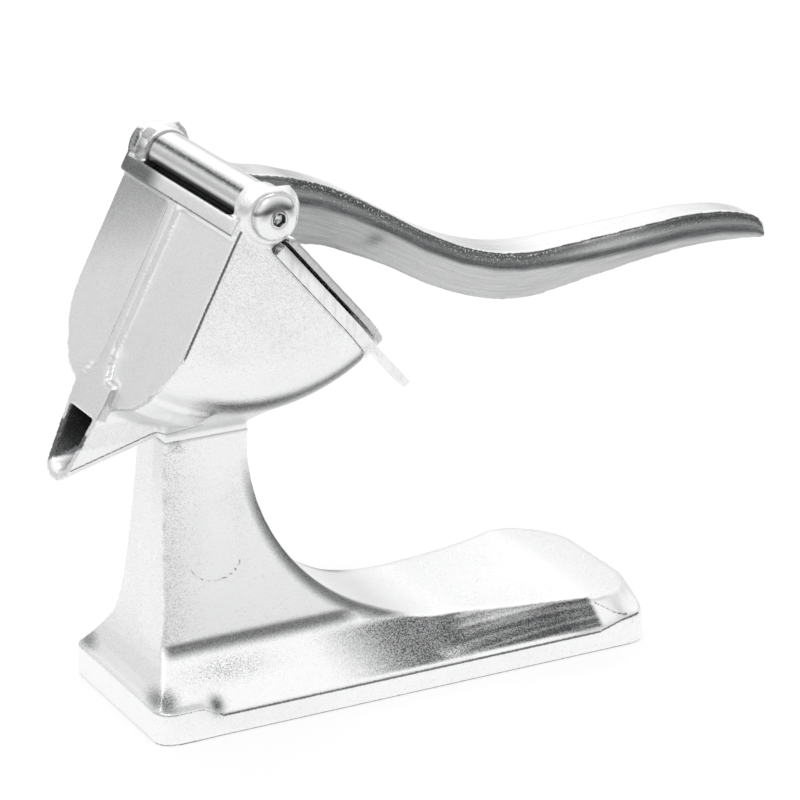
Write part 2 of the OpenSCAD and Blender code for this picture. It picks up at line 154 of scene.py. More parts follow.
def castFinish(name, look):
    # bare cast metal: pale ground, soft clouds, pits, and the mesh's painted shade and reflections that break
    # up into grains
    bench = Bench(bpy.data.materials.new(name))
    shade, speckle, line = (bench.painted(part) for part in ("shade", "speckle", "line"))
    clouds = bench.noise(look["cloudScale"], 6.0, rough=0.62)
    fine = bench.noise(look["grainScale"], 4.0, rough=0.7)
    pits = bench.between(bench.noise(look["pitScale"], 2.0), *castGrain["pitRange"])
    grains = (bench.between(fine, *castGrain["grainRange"]) - 0.5) \
        * (castGrain["grainLeast"] + speckle * castGrain["grainMost"])
    ink = inked(bench, line, fine, look)
    cloudy = bench.between(clouds, *castGrain["cloudRange"]) * look["cloudDepth"]
    dull = (cloudy + pits * castGrain["pitDull"]).atMost(1.0)
    ground = bench.blend(dull, grey(look["light"], 0.002), grey(look["mid"], 0.003))
    amount = (shade + grains).atLeast(ink).atLeast(0.0).atMost(1.0)
    colour = bench.blend(amount, ground, grey(look["dark"], 0.003))
    rough = look["rough"] + (fine - 0.5) * castGrain["roughGrain"] + (clouds - 0.5) * castGrain["roughCloud"]
    height = fine * (0.5 + speckle) + clouds * castGrain["cloudHeight"] - pits * castGrain["pitHeight"]
    return bench.metal(colour, rough, bench.bump(height, look["bump"], look["bumpDepth"]), look["metallic"])


def brushedFinish(name, look):
    # metal with long fine scratches along the mesh's flow, bright chips and the mesh's painted shade and
    # reflections
    bench = Bench(bpy.data.materials.new(name))
    shade, speckle, line = (bench.painted(part) for part in ("shade", "speckle", "line"))
    flow = bench.painted("flow", "Vector")
    clouds = bench.noise(look["cloudScale"], 5.0, rough=0.6)
    fine = bench.noise(look["grainScale"], 3.0, rough=0.7)
    lines = bench.noise(look["lineScale"], 6.0, stretch=look["stretch"], rough=0.7, source=flow)
    chips = bench.between(fine + (lines - 0.5) * brushing["chipFollow"], *brushing["chipRange"]) * speckle
    ink = inked(bench, line, fine, look)
    dull = bench.between(clouds, *brushing["cloudRange"]) * look["cloudDepth"]
    ground = bench.blend(dull, grey(look["light"], 0.002), grey(look["mid"], 0.003))
    amount = shade + (lines - 0.5) * look["lineDepth"] + (fine - 0.5) * brushing["fineDepth"] - chips
    amount = amount.atLeast(ink).atLeast(0.0).atMost(1.0)
    colour = bench.blend(amount, ground, grey(look["dark"], 0.003))
    rough = look["rough"] + (lines - 0.5) * brushing["roughLines"]
    height = lines + clouds * brushing["cloudHeight"]
    return bench.metal(colour, rough, bench.bump(height, look["bump"], look["bumpDepth"]))


# tone helpers, on arrays with one value for each point

def ease(value, low, high):
    # 0 below low, 1 above high, t * t * (3 - 2 * t) between
    t = np.clip((value - low) / (high - low), 0, 1)
    return t * t * (3 - 2 * t)


def bump(value, centre, width):
    # a bell: e to the minus square of the distance over the width
    return np.exp(-((value - centre) / width) ** 2)


def spot(points, centre, size):
    # a soft patch: a bell in each of the three directions
    return np.exp(-(((points - np.array(centre)) / np.array(size)) ** 2).sum(axis=1))


def twinSpots(points, centre, size, strength=1.0):
    # the same soft patch on both sides of the part
    x, y, z = centre
    return (spot(points, (x, y, z), size) + spot(points, (x, -y, z), size)) * strength


def nearest(*distances):
    # the least of the distances at each point
    return np.minimum.reduce(distances)


def only(distance, where, faint=0.0):
    # the size of a distance where the condition holds, far away elsewhere; faint makes a thinner line
    return np.where(where, np.abs(distance) + faint, 9.0)


# mesh helpers

def vertexArray(mesh):
    # a row of x, y and z for each point
    values = np.empty(len(mesh.vertices) * 3)
    mesh.vertices.foreach_get("co", values)
    return values.reshape(-1, 3)


def vertexNormals(mesh):
    # a row with the normal of each point
    values = np.empty(len(mesh.vertices) * 3, dtype=np.float32)
    mesh.vertex_normals.foreach_get("vector", values)
    return values.reshape(-1, 3)


def edgeArray(mesh):
    # a row with the two points of each edge
    pairs = np.empty(len(mesh.edges) * 2, dtype=np.int64)
    mesh.edges.foreach_get("vertices", pairs)
    return pairs.reshape(-1, 2)


def paint(mesh, name, values):
    # a point attribute: one number for each point, or a vector where there are three
    values = np.asarray(values, dtype=np.float32)
    kind, key = ("FLOAT_VECTOR", "vector") if values.ndim > 1 else ("FLOAT", "value")
    mesh.attributes.new(name, kind, "POINT").data.foreach_set(key, values.ravel())


def mergedCopy(nodeName):
    # a node's triangles in a mesh of their own, with their shared corners joined
    mesh = nodes[nodeName].data.copy()
    mesh.materials.clear()
    work = bmesh.new()
    work.from_mesh(mesh)
    bmesh.ops.remove_doubles(work, verts=work.verts, dist=2e-6)
    work.to_mesh(mesh)
    work.free()
    return mesh


def modified(mesh, kind, settings):
    # the mesh as one modifier leaves it
    holder = bpy.data.objects.new("holder", mesh)
    bpy.context.scene.collection.objects.link(holder)
    step = holder.modifiers.new("step", kind)
    for key, value in settings.items():
        setattr(step, key, value)
    ready = holder.evaluated_get(bpy.context.evaluated_depsgraph_get())
    result = bpy.data.meshes.new_from_object(ready)
    bpy.data.objects.remove(holder)
    return result


def finishPiece(name, mesh, material, nodeName, body, tones=None):
    # material, painted tones (worked out in millimetres), and the piece's place in the frame
    mesh.materials.clear()
    mesh.materials.append(material)
    mesh.polygons.foreach_set("use_smooth", np.full(len(mesh.polygons), True))
    mesh.update()
    points = vertexArray(mesh) * 1000
    zero = points[:, 0] * 0
    marks = {"shade": zero, "speckle": zero, "line": zero + 9, "flow": points}
    if tones:
        marks.update(tones(points, vertexNormals(mesh)))
    marks["flow"] = marks["flow"] / 1000
    marks["shade"] = np.clip(marks["shade"], -0.5, 1)
    for key, values in marks.items():
        paint(mesh, key, values)
    piece = bpy.data.objects.new(name, mesh)
    bpy.context.scene.collection.objects.link(piece)
    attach(piece, body)
    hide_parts(nodeName)
    print("piece", name, len(mesh.vertices), "points", len(mesh.polygons), "faces")


relaxing = {"share": 0.5, "roundsShaped": 2, "quickGrain": 1.6, "quickRounds": 0.4}


def relaxed(points, edges, rounds, hold):
    # each point moves half of the way to the mean of its neighbours (their sum over their count),
    # times its own hold
    count = len(points)
    degree = np.bincount(edges.ravel(), minlength=count)[:, None]
    a, b = edges[:, 0], edges[:, 1]
    for _ in range(rounds):
        total = np.stack([np.bincount(a, points[b, k], count) + np.bincount(b, points[a, k], count)
                          for k in range(3)], axis=1)
        points = points + relaxing["share"] * hold * (total / degree - points)
    return points


def castMesh(nodeName, look, holdOf, reshape=None):
    # the node's solid on a fine even grid, relaxed so that its edges are rounded as cast, then thinned
    grain = look["grain"] * 1
    mesh = modified(mergedCopy(nodeName), "REMESH", {"mode": "VOXEL", "voxel_size": grain})
    points, edges = vertexArray(mesh), edgeArray(mesh)
    hold = holdOf(points * 1000)[:, None]
    rounds = max(1, round(look["rounds"] * (1)))
    points = relaxed(points, edges, rounds, hold)
    if reshape:
        points = relaxed(reshape(points), edges, relaxing["roundsShaped"], hold)
    mesh.vertices.foreach_set("co", points.ravel())
    mesh.update()
    triangles = 2 * len(mesh.polygons)
    if triangles > look["limit"]:
        mesh = modified(mesh, "DECIMATE", {"ratio": look["limit"] / triangles})
    return mesh


def tubeMesh(name, points):
    # rings joined row to row: point j of ring i meets points j and j + 1 of ring i + 1, ends closed by fans
    rows, cols = points.shape[:2]
    i, j = np.meshgrid(np.arange(rows - 1), np.arange(cols), indexing="ij")
    k = (j + 1) % cols
    quads = np.stack([i * cols + j, i * cols + k, (i + 1) * cols + k, (i + 1) * cols + j], axis=-1)
    ring = np.arange(cols)
    top = (rows - 1) * cols
    start = np.stack([np.full(cols, rows * cols), np.roll(ring, -1), ring], axis=1)
    end = np.stack([np.full(cols, rows * cols + 1), top + ring, top + np.roll(ring, -1)], axis=1)
    body = np.concatenate([points.reshape(-1, 3), [points[0].mean(axis=0), points[-1].mean(axis=0)]])
    mesh = bpy.data.meshes.new(name)
    mesh.from_pydata(body.tolist(), [], quads.reshape(-1, 4).tolist() + start.tolist() + end.tolist())
    work = bmesh.new()
    work.from_mesh(mesh)
    bmesh.ops.recalc_face_normals(work, faces=work.faces)
    work.to_mesh(mesh)
    work.free()
    return mesh


# base: mesh and shader in metres, places and zones in millimetres; a pair is where a zone starts and is full

baseLook = {
    "grain": 0.0009, "rounds": 18, "limit": 195000, "light": 0.97, "mid": 0.62, "dark": 0.06,
    "cloudScale": 48.0, "cloudDepth": 0.11, "grainScale": 1900.0, "pitScale": 420.0, "rough": 0.34,
    "metallic": 0.8, "bump": 0.35, "bumpDepth": 0.00022, "lineWidth": 0.62, "ink": 0.85,
    "seat": 120.0, "sweepX": 25.0, "sweepZ": 111.5, "sweepRadius": 85.0, "frontX": -98.2, "frontLean": 0.0725,
    "columnFirm": (34, 46), "footFree": (44, 60),
    "sweepOff": (2.5, 6.6), "ridge": (27, 31), "sweepInner": (0.5, 7), "sweepTop": (84, 116),
    "footLow": (28.5, 32.8), "footHigh": (33.6, 37.2), "footFront": (-107, -102), "footRear": (-26, -8),
    "footSide": (18, 21), "flankFacing": (0.28, 0.55), "flankLow": (10.6, 12), "speckledReflectionStart": (-52, -2),
    "speckledReflectionEnd": (20, 34), "streakedReflectionStart": (16, 36), "streakedReflectionEnd": (-1.5, 1.5), "frontEdge": (2, 13),
    "frontGrain": (6, 24), "neckShade": (80, 118), "deckStart": (0, 40),
    "columnHalf": ([26, 33, 50, 75, 100, 120], [31, 24.6, 21, 17.2, 14.6, 13.8]),
    "plateTop": ([-97, -88, 92, 103, 113], [14.6, 10, 10, 13.3, 14.6]),
    "endCrest": ([87, 89.3, 94.8, 99.8, 104.8, 116], [24, 23.7, 20.3, 16.8, 15, 14.6])}
baseSpots = {  # centre on one side, size, strength
    "scoopLight": ((46, 38, 24.5), (20, 12, 4), 0.45), "lowLight": ((22, 42, 12.5), (6, 8, 3.5), 0.5),
    "grainPatch": ((-80, 33, 24), (18, 9, 4.5), 1.0), "corner": ((-111, 35, 16), (5, 9, 5), 1.1),
    "notch": ((-90, 43, 14), (3.4, 4.5, 4.2), 1.0), "columnSoft": ((-66, 17, 90), (7, 6, 16), 0.10),
    # the last spot is a painted shadow under the spout at the top of the column
    "filletShadow": ((-93, 13.8, 118), (3.5, 3, 3.5), 0.5)}


def baseHold(points):
    # free on the column, firmer along the plate and at its foot, fixed where the hopper stands on it:
    # the larger of plate-to-column and deck, less 0.97 of the seat and 0.6 of the foot
    x, z = points[:, 0], points[:, 2]
    column = ease(z, *baseLook["columnFirm"])
    seat = ease(z, baseLook["seat"] - 2.2, baseLook["seat"] - 1.0)
    foot = (1 - ease(x, -100, -88)) * (1 - ease(z, *baseLook["footFree"]))
    endPad = ease(x, 84, 90) * ease(z, 11.5, 13)
    deckSide = ease(z, 23, 25) * ease(x, -30, 0) * (1 - ease(x, 50, 80))
    deck = np.maximum(endPad, deckSide)
    return np.maximum(0.4 + 0.6 * column, deck) * (1 - 0.97 * seat) * (1 - 0.6 * foot)


def baseTones(points, normals):
    # shade: the largest of the zones, each a product of eases over place and facing
    # line: the least distance to the marks, a height over an edge or a radius off a circle or an ellipse
    x, y, z = points.T
    side, facing = np.abs(y), np.abs(normals[:, 1])
    look = baseLook
    soft = {name: twinSpots(points, *values) for name, values in baseSpots.items()}
    # painted dark reflection on the face of the sweep close to its edge with the column, and painted shade in
    # the fillet of the dark shoulder over the plate
    reach = np.hypot(x - look["sweepX"], z - look["sweepZ"]) - look["sweepRadius"]
    half = np.interp(z, *look["columnHalf"])
    inner = np.clip(half - side, 0, 30) * (1 - ease(facing, 0.3, 0.7))
    sweep = (1 - ease(reach, *look["sweepOff"])) * ease(z, *look["ridge"]) \
        * (1 - ease(inner, *look["sweepInner"])) * (1 - ease(z, *look["sweepTop"])) \
        * (x < 12) * (0.66 + 0.22 * bump(reach, 0.8, 1.2))
    foot = ease(z, *look["footLow"]) * (1 - ease(z, *look["footHigh"])) * ease(x, *look["footFront"]) \
        * (1 - ease(x, *look["footRear"])) * ease(side, *look["footSide"]) * 0.85
    # the sloping flank: painted dark reflection, speckled in a first zone, then in streaks up to the scoop's
    # end, lightened by painted lighter reflections under the scoop's crest and low down
    rise = np.clip((z - 10) / 23, 0, 1)
    slope = ease(facing, *look["flankFacing"]) * ease(z, *look["flankLow"]) \
        * (1 - ease(z, *look["ridge"])) * (side > 26)
    streaks = np.sin(z * 1.9 - x * 0.16) + 0.6 * np.sin(z * 3.3 - x * 0.31 + 1) \
        + 0.5 * np.sin(z * 0.9 - x * 0.05)
    speckledReflection = ease(x - 14 * (1 - rise), *look["speckledReflectionStart"]) * (1 - ease(x, *look["speckledReflectionEnd"]))
    scoopEnd = 87.5 + 0.5 * (24 - z)
    streakedReflection = ease(x, *look["streakedReflectionStart"]) * (1 - ease(x - scoopEnd, *look["streakedReflectionEnd"])) \
        * (0.92 + 0.13 * streaks)
    flank = slope * np.clip(0.92 * speckledReflection + streakedReflection - soft["scoopLight"] - soft["lowLight"], 0, 1)
    corner = soft["corner"] * (z > 13.6)
    # paler greys of pad, column edge, column front and deck
    pad = bump(z, 14.8, 1.2) * (x < -92) * (normals[:, 2] > 0.6) * 0.2
    fromFront = x - (look["frontX"] - look["frontLean"] * (look["seat"] - z))
    column = (z > 36) * (side > 12) * (facing > 0.5)
    edge = column * (1 - ease(fromFront, *look["frontEdge"])) * 0.16
    face = (normals[:, 0] < -0.6) * (z > 20) * (0.10 + 0.10 * ease(z, *look["neckShade"]) * (y < -4))
    deck = (normals[:, 2] > 0.85) * (z > 15) * ease(x, *look["deckStart"]) \
        * (0.11 - 0.05 * spot(points, (60, -10, 26), (30, 18, 9)))
    shade = np.maximum.reduce([sweep, foot, flank, soft["grainPatch"] * 0.3, corner, soft["notch"], pad,
                               edge, face, soft["columnSoft"], soft["filletShadow"], deck])
    # the plate's upper edge, a painted contact shadow along the lower edge where it stands on the floor, the
    # end pad's crest, and the marks that casting left on the column
    fromTop = z - np.interp(x, *look["plateTop"])
    crest = np.interp(x, *look["endCrest"])
    curl = (np.hypot((x + 78.5) / 11.5, (z - 67) / 8.7) - 1) * 9
    scar, nick = np.hypot(x + 80, z - 36) - 21.3, np.hypot(x + 38, z - 50) - 14.2
    line = nearest(
        only(fromTop + 0.7, (side > 43.4) & (x > -90)),
        # a painted contact shadow just over the floor
        only(z - 0.3, z < 3, 0.1),
        only(fromTop + 0.9, (side > 37) & (x < -90) & (z > 12), 0.3),
        only(z - crest + 0.4, (side > 41.5) & (x > 89) & (x < 106), 0.1),
        only(curl, column & (z < 65.5), 0.15 + 0.15 * (x < -80)),
        only(scar, column & (x < -84) & (z > 40), 0.45),
        only(nick, column & (x < -40.5) & (z < 48), 0.45))
    speckle = 0.16 + 0.8 * soft["grainPatch"] + 0.5 * slope * speckledReflection \
        + 0.45 * column * (1 - ease(fromFront, *look["frontGrain"])) \
        + 0.25 * slope * streakedReflection + 0.4 * corner + 0.25 * face
    return {"shade": shade, "speckle": np.clip(speckle, 0, 1), "line": line}


finishPiece("castBasePiece", castMesh("base", baseLook, baseHold), castFinish("castBase", baseLook),
            "base", "stand", baseTones)


# hopper: side is the distance from the middle plane, down and out are the front wall's own axes

hopperLook = {
    "grain": 0.0008, "rounds": 26, "limit": 195000, "light": 0.95, "mid": 0.62, "dark": 0.08,
    "cloudScale": 60.0, "cloudDepth": 0.14, "grainScale": 1900.0, "pitScale": 380.0, "rough": 0.33,
    "metallic": 0.9, "bump": 0.35, "bumpDepth": 0.0002, "lineWidth": 0.8, "ink": 0.9,
    "seat": 120.0, "lean": math.radians(-117.4), "spoutSlope": math.radians(15), "mouthZ": 117.5,
    "underReach": (80, 88), "underTop": (172, 184), "underFront": (-128, -120), "spoutStart": (108, 114),
    "shellReach": (76, 82), "shellSide": (14, 22), "bellyStart": (-104, -84), "bellySide": (24, 34),
    "wallFace": (7.5, 8.6), "panelSide": (5, 12), "panelDark": (16, 66), "bandDark": (12, 30),
    "ribLight": (74, 86), "flareStart": (76, 88), "steepness": (0.15, 0.5), "mouthFacing": (0.15, 0.4)}


def wallFrame(points):
    # distances from the hinge axis in x and z, and turned by the wall's lean: down is x times its cosine
    # plus z times its sine, out is x times its sine less z times its cosine
    dx, dz = points[:, 0] - hingeMm[0], points[:, 2] - hingeMm[2]
    down = dx * math.cos(hopperLook["lean"]) + dz * math.sin(hopperLook["lean"])
    out = dx * math.sin(hopperLook["lean"]) - dz * math.cos(hopperLook["lean"])
    return dx, dz, down, out


def hopperHold(points):
    # crisp relief on the front wall, bosses and rim, soft underside, fixed at the seat:
    # 0.14, up to 1 on the underside, less 0.97 of the seat and 0.85 of the spout
    dx, dz, down, out = wallFrame(points)
    look = hopperLook
    under = ease(np.hypot(dx, dz), *look["underReach"]) * (1 - ease(points[:, 2], *look["underTop"])) \
        * ease(points[:, 0], *look["underFront"])
    seat = 1 - ease(points[:, 2], look["seat"] + 1.2, look["seat"] + 2.2)
    spout = ease(-points[:, 0], *look["spoutStart"])
    return (0.14 + 0.86 * under) * (1 - 0.97 * seat) * (1 - 0.85 * spout)


def hopperTones(points, normals):
    # shade: the largest of the painted shade and reflection zones, less a painted highlight on the rib's
    # light side, plus painted shade on its flare; outward is how far a face looks away from the hinge, the
    # dot product of its normal and its place over its distance
    # line: the least distance to the marks, in the wall's or the spout's own axes
    x, y, z = points.T
    side, facing = np.abs(y), np.abs(normals[:, 1])
    look = hopperLook
    dx, dz, down, out = wallFrame(points)
    reach = np.hypot(dx, dz)
    outward = (normals[:, 0] * dx + normals[:, 2] * dz) / np.maximum(reach, 1)
    # painted reflection: the rounded lower corner mirrors the dark underside; painted shade underneath the
    # hopper and on the flat sides, darker towards the hinge
    shell = ease(reach, *look["shellReach"]) * ease(side, *look["shellSide"])
    belly = bump(outward, 0.64, 0.2) * shell * ease(x, *look["bellyStart"]) \
        * ease(side, *look["bellySide"]) * 0.95
    under = ease(outward, 0.8, 0.95) * shell * 0.2 + (z < 133) * (z > 122.5) * 0.12
    sides = ease(facing, 0.8, 0.95) * (side > 50) * 0.15 * (1 - ease(reach, 15, 80))
    # front wall, painted shade: the far panel is dark at its top, the band under the barrel at its far end
    front = ease(out, *look["wallFace"]) * (normals[:, 0] < -0.3)
    panel = front * (out < 10.6) * (0.06 + 0.50 * ease(y, *look["panelSide"])
                                    * (1 - ease(down + (50 - y) * 0.35, *look["panelDark"])))
    raised = front * (out > 11) * (0.12 + 0.78 * (down < 15) * ease(y, *look["bandDark"]))
    # painted shade on the far ears' lower faces and in the slot under the barrel
    ears = (reach < 14.8) * (y > 40) * (1 - ease(normals[:, 2], 0.1, 0.6)) * 0.5
    slot = (down < 12) * (out < 12.6) * (side < 42) * (outward < 0.3) * 0.85
    downFacing = np.abs(normals[:, 0] * math.cos(look["lean"]) + normals[:, 2] * math.sin(look["lean"]))
    # a painted highlight down the rib's near side, and painted shade on the steep faces of its flare
    ribLight = front * (out > 9.6) * (out < 12.1) * (y < 0) * (side < 8) * (1 - ease(down, *look["ribLight"]))
    flare = (out > 8.2) * (out < 12.4) * ease(down, *look["flareStart"]) * (down < 106) * (z > 122) \
        * ease(np.maximum(facing, downFacing), *look["steepness"])
    # painted shade in the trough under the spout's roof, only on faces that look into it, less where the
    # mouth's lower part is lit
    cosine, sine = math.cos(look["spoutSlope"]), math.sin(look["spoutSlope"])
    along = -dx * cosine - dz * sine
    across = dz * cosine - dx * sine
    upward = normals[:, 2] * cosine - normals[:, 0] * sine
    inward = np.maximum(-normals[:, 1] * np.sign(y), np.where(across > -76, -upward, upward))
    trough = (side < 12.6) & (across < -69) & (across > -91.6) & (along > 36)
    lit = 1 - ease(z + 0.5 * y, look["mouthZ"] - 1, look["mouthZ"] + 1)
    mouth = trough * ease(inward, *look["mouthFacing"]) * (0.95 - 0.9 * lit)
    # painted shade on the hopper's inner walls
    inside = (out < 4.8) & (side < 48.6) & (z < 205) & (normals[:, 1] * np.sign(y) < 0.15) & (outward < 0.15)
    shade = np.maximum.reduce([belly, under, sides, panel, raised, ears, slot, mouth, inside * 0.35]) \
        - 0.3 * ribLight + flare * np.where(y > 0, 0.3, 0.38)
    # the walls' edge, the band's lower edge, the rib's edge and the spout's lower seam
    line = nearest(
        only(out - 8.7, (side > 52.3) & (down > 10) & (down < 96) & (out > 6.5), 0.5 * ease(down, 62, 94)),
        only(down - 13.4, (out > 11.6) & (down > 11) & (down < 15), 0.2),
        only(y - 2.9, (out > 11.6) & (down > 16) & (down < 84), 0.1 + 0.5 * ease(down, 66, 84)),
        only(across + 88.0, (along > 40) & (side > 9.6) & (inward < 0) & (across < -84), 0.25))
    speckle = 0.16 + 0.16 * ease(facing, 0.8, 0.95) * ease(z, 130, 190) + 0.3 * belly + 0.2 * panel
    return {"shade": shade, "speckle": np.clip(speckle, 0, 1), "line": line}


finishPiece("castHopperPiece", castMesh("hopper", hopperLook, hopperHold),
            castFinish("castHopper", hopperLook), "hopper", "stand", hopperTones)


# strainer

strainerLook = {
    "width": 0.00045, "segments": 2, "bevelFrom": 0.6, "sharpFrom": 0.5, "light": 0.92, "mid": 0.58,
    "dark": 0.12, "cloudScale": 70.0, "cloudDepth": 0.4, "lineScale": 500.0, "lineDepth": 1.0,
    "stretch": (1, 1, 0.15), "grainScale": 900.0, "rough": 0.28, "bump": 0.25, "bumpDepth": 0.00012,
    "lineWidth": 0.5, "ink": 0.0}
strainerMesh = modified(mergedCopy("strainer"), "BEVEL", {
    "width": strainerLook["width"], "segments": strainerLook["segments"], "limit_method": "ANGLE",
    "angle_limit": strainerLook["bevelFrom"], "harden_normals": False})
finishPiece("strainerPiece", strainerMesh, brushedFinish("strainerMetal", strainerLook),
            "strainer", "strainer")
strainerMesh.set_sharp_from_angle(angle=strainerLook["sharpFrom"])


# press lever: stations in millimetres from the hinge

# x, top, underside, half-width, and the height from -1 to 1 where the dark shoulder ends
armStations = np.array([
    [7, 5.5, -7, 9.6, -0.1], [15, 2.6, -16, 9.8, -0.1], [24.5, 0.8, -28, 10, -0.05],
    [33, -1.6, -30, 10.3, -0.05], [44, -5.4, -32, 10.8, -0.02], [57, -11.5, -37.3, 11.5, 0.0],
    [74, -21.7, -45.1, 12.3, 0.05], [91.5, -32.5, -55.1, 12.9, 0.08], [109, -41.3, -62.9, 13, 0.08],
    [125, -46.6, -67.6, 13, 0.08], [138, -48.8, -69.4, 12.6, 0.05], [150, -49.4, -69, 12, 0.0],
    [166, -48.6, -66.8, 11.3, -0.25], [184, -47.6, -64.4, 10.6, -0.5], [203, -46.5, -62, 9.9, -0.65],
    [222, -45.5, -60.4, 9.4, -0.8], [240, -46.5, -60.2, 9.1, -0.85], [252, -49, -60.9, 8.8, -0.95],
    [258.5, -51.6, -61.6, 8.4, -0.95], [264.3, -59, -62.6, 7, -0.95]])
leverLook = {
    "grain": 0.0008, "rounds": 6, "limit": 190000, "topShare": 0.86, "lowShare": 0.93, "armStart": 25.5,
    "light": 0.94, "mid": 0.6, "dark": 0.06, "cloudScale": 45.0, "cloudDepth": 0.15,
    "lineScale": 1100.0, "lineDepth": 0.5, "stretch": (0.035, 1, 1), "grainScale": 1300.0,
    "rough": 0.30, "bump": 0.3, "bumpDepth": 0.00014, "lineWidth": 0.6, "ink": 0.95,
    "mouth": math.radians(-49.5), "shoulder": (-0.04, 0.34), "upperHalf": (0.4, 0.6), "barrelRadius": 10.4,
    "barrelHalf": 41.8, "barrelUnder": (164, 178), "crispHold": 0.15, "crispSide": 16, "crispHeight": 5}


def armFrame(points):
    # where a point in millimetres lies on the arm: from the hinge, the half-width and half-height there,
    # its height v from -1 to 1, where the shoulder ends, and 1 on the arm
    local = points - hingeMm
    x = np.clip(local[:, 0], armStations[0, 0], armStations[-1, 0])
    top, low, half, start = (np.interp(x, armStations[:, 0], armStations[:, k]) for k in range(1, 5))
    middle, rise = (top + low) / 2, (top - low) / 2
    v = (local[:, 2] - middle) / rise
    first = leverLook["armStart"]
    onArm = (local[:, 0] > first) & (np.abs(local[:, 1]) < half + 1.2) & (np.abs(v) < 1.15)
    return local, half, rise, v, start, onArm * ease(local[:, 0], first, first + 6.5)


def plateFrame(local):
    # along the presser plate from the hinge: x times the mouth's cosine plus z times its sine;
    # above it: z times the cosine less x times the sine
    cosine, sine = math.cos(leverLook["mouth"]), math.sin(leverLook["mouth"])
    return local[:, 0] * cosine + local[:, 2] * sine, local[:, 2] * cosine - local[:, 0] * sine


def leverHold(points):
    # the presser plate's thin edges stay crisp, all else is free
    local = points - hingeMm
    along, above = plateFrame(local)
    look = leverLook
    edge = (along > look["crispSide"]) & (np.abs(above) < look["crispHeight"]) \
        & (np.abs(local[:, 1]) > look["crispSide"])
    return np.where(edge, look["crispHold"], 1.0)


def armShaped(points):
    # half-width times 1 - (1 - top share) * slope ^ 2.2 above the shoulder's end, and towards the underside
    # 1 - (1 - low share) * under ^ 2, with slope and under from 0 to 1
    local, half, rise, v, start, onArm = armFrame(points * 1000)
    slope = np.clip((v - start) / (1 - start), 0, 1)
    under = np.clip((start - v) / (1 + start + 1e-6), 0, 1)
    share = 1 - (1 - leverLook["topShare"]) * slope ** 2.2 - (1 - leverLook["lowShare"]) * under ** 2
    out = points.copy()
    out[:, 1] *= 1 - onArm * (1 - share)
    return out


def leverTones(points, normals):
    # shade: the largest of the painted shade and reflection zones; on the arm by slope, the height over the
    # shoulder's end from 0 to 1, and on the barrel by the angle around the pin, in degrees from the handle's
    # side
    local, half, rise, v, start, onArm = armFrame(points)
    x, y, z = local.T
    side, facing = np.abs(y), np.abs(normals[:, 1])
    look = leverLook
    slope = np.clip((v - start) / (1 - start), -1.2, 1.2)
    upward = ease(normals[:, 2], 0.74, 0.90)
    downward = ease(-normals[:, 2], 0.7, 0.9)
    # painted reflection: a dark shoulder with a lighter streak, and a near-white top that is darker towards
    # the hinge; the lower side is painted shade, mid grey and darker towards the hinge
    band = ease(slope, *look["shoulder"]) * (0.93 - 0.2 * bump(slope, 0.62, 0.12)
                                             - 0.38 * ease(slope, *look["upperHalf"]) * bump(x, 182, 22))
    lower = 0.42 + 0.2 * (1 - ease(x, 40, 100)) + 0.06 * ease(x, 150, 200)
    arm = onArm * (1 - upward) * (1 - downward) * np.maximum(band, lower)
    blot = twinSpots(local, (68, 12, -32), (4.5, 5, 2.6), 0.22)
    top = upward * onArm * (0.45 * (1 - ease(x, 26, 60)) - 0.12)
    # barrel: a painted dark reflection line that breaks into grains over a lighter painted band, and painted
    # shade where it enters the slot
    barrel = (np.hypot(x, z) < look["barrelRadius"]) & (side < look["barrelHalf"])
    angle = np.degrees(np.arctan2(z, x)) % 360
    bands = 0.95 * bump(angle, 131, 8) + 0.2 * bump(angle, 116, 14) + 0.3 * bump(angle, 150, 9)
    barrelShade = barrel * (bands + ease(angle, *look["barrelUnder"]) * (angle < 260) + 0.04)
    # presser plate: grey edge with short strokes across it; web: painted dark reflection on the arm's root
    # beside the barrel
    along, above = plateFrame(local)
    plate = (above > -2.6) & (above < 3.2) & (along > 14) & ~(onArm > 0.1)
    web = (facing > 0.4) * (x > 8) * (x < 34) * (side > 9) * (side < 42) * (z > -9) \
        * ease(z, -9, -3) * 0.85 * (1 - plate)
    shade = np.maximum.reduce([arm + blot, barrelShade, plate * ease(facing, 0.4, 0.7) * 0.42, web]) + top
    line = nearest(
        only((v - 0.93) * rise, (onArm > 0.3) & (upward < 0.9) & (v > 0.6) & (side > half * 0.7)),
        only((v + 0.96) * rise + 0.1, (onArm > 0.3) & (v < -0.7) & (x < 230) & (facing > 0.6), 0.35))
    chipped = 0.3 + 0.7 * (bump(x, 62, 26) + bump(x, 128, 30)).clip(0, 1)
    speckle = 0.12 + 0.5 * barrel * bump(angle, 131, 18) \
        + onArm * (bump(slope, 0.80, 0.24) * chipped + 0.5 * upward * bump(side / half, 0.85, 0.2))
    # scratches run along the arm, round the barrel and across the plate
    flow = np.stack([x, v * rise, y], axis=1)
    flow = np.where(barrel[:, None], np.stack([y, angle * 0.16, z * 0], axis=1), flow)
    flow = np.where(plate[:, None], np.stack([above, along, y], axis=1), flow)
    return {"shade": shade, "speckle": np.clip(speckle, 0, 1), "line": line, "flow": flow}


finishPiece("pressLeverPiece", castMesh("press_lever", leverLook, leverHold, armShaped),
            brushedFinish("castLever", leverLook), "press_lever", "lever", leverTones)


# hinge hardware

hingeLook = {
    "headRadius": 0.00975, "headHeight": 0.0055, "face": 0.0564, "socket": 0.0046, "socketDepth": 0.003,
    "sleeveRadius": 0.0065, "sleeveLength": 0.1118, "shankRadius": 0.004, "shankLength": 0.028,
    "turns": 96, "sharpFrom": 0.8, "light": 0.90, "mid": 0.6, "dark": 0.06, "cloudScale": 200.0,
    "cloudDepth": 0.3, "lineScale": 900.0, "lineDepth": 0.3, "stretch": (1, 1, 1), "lineWidth": 0.5,
    "ink": 0.8, "grainScale": 1500.0, "rough": 0.16, "bump": 0.15, "bumpDepth": 0.0001}


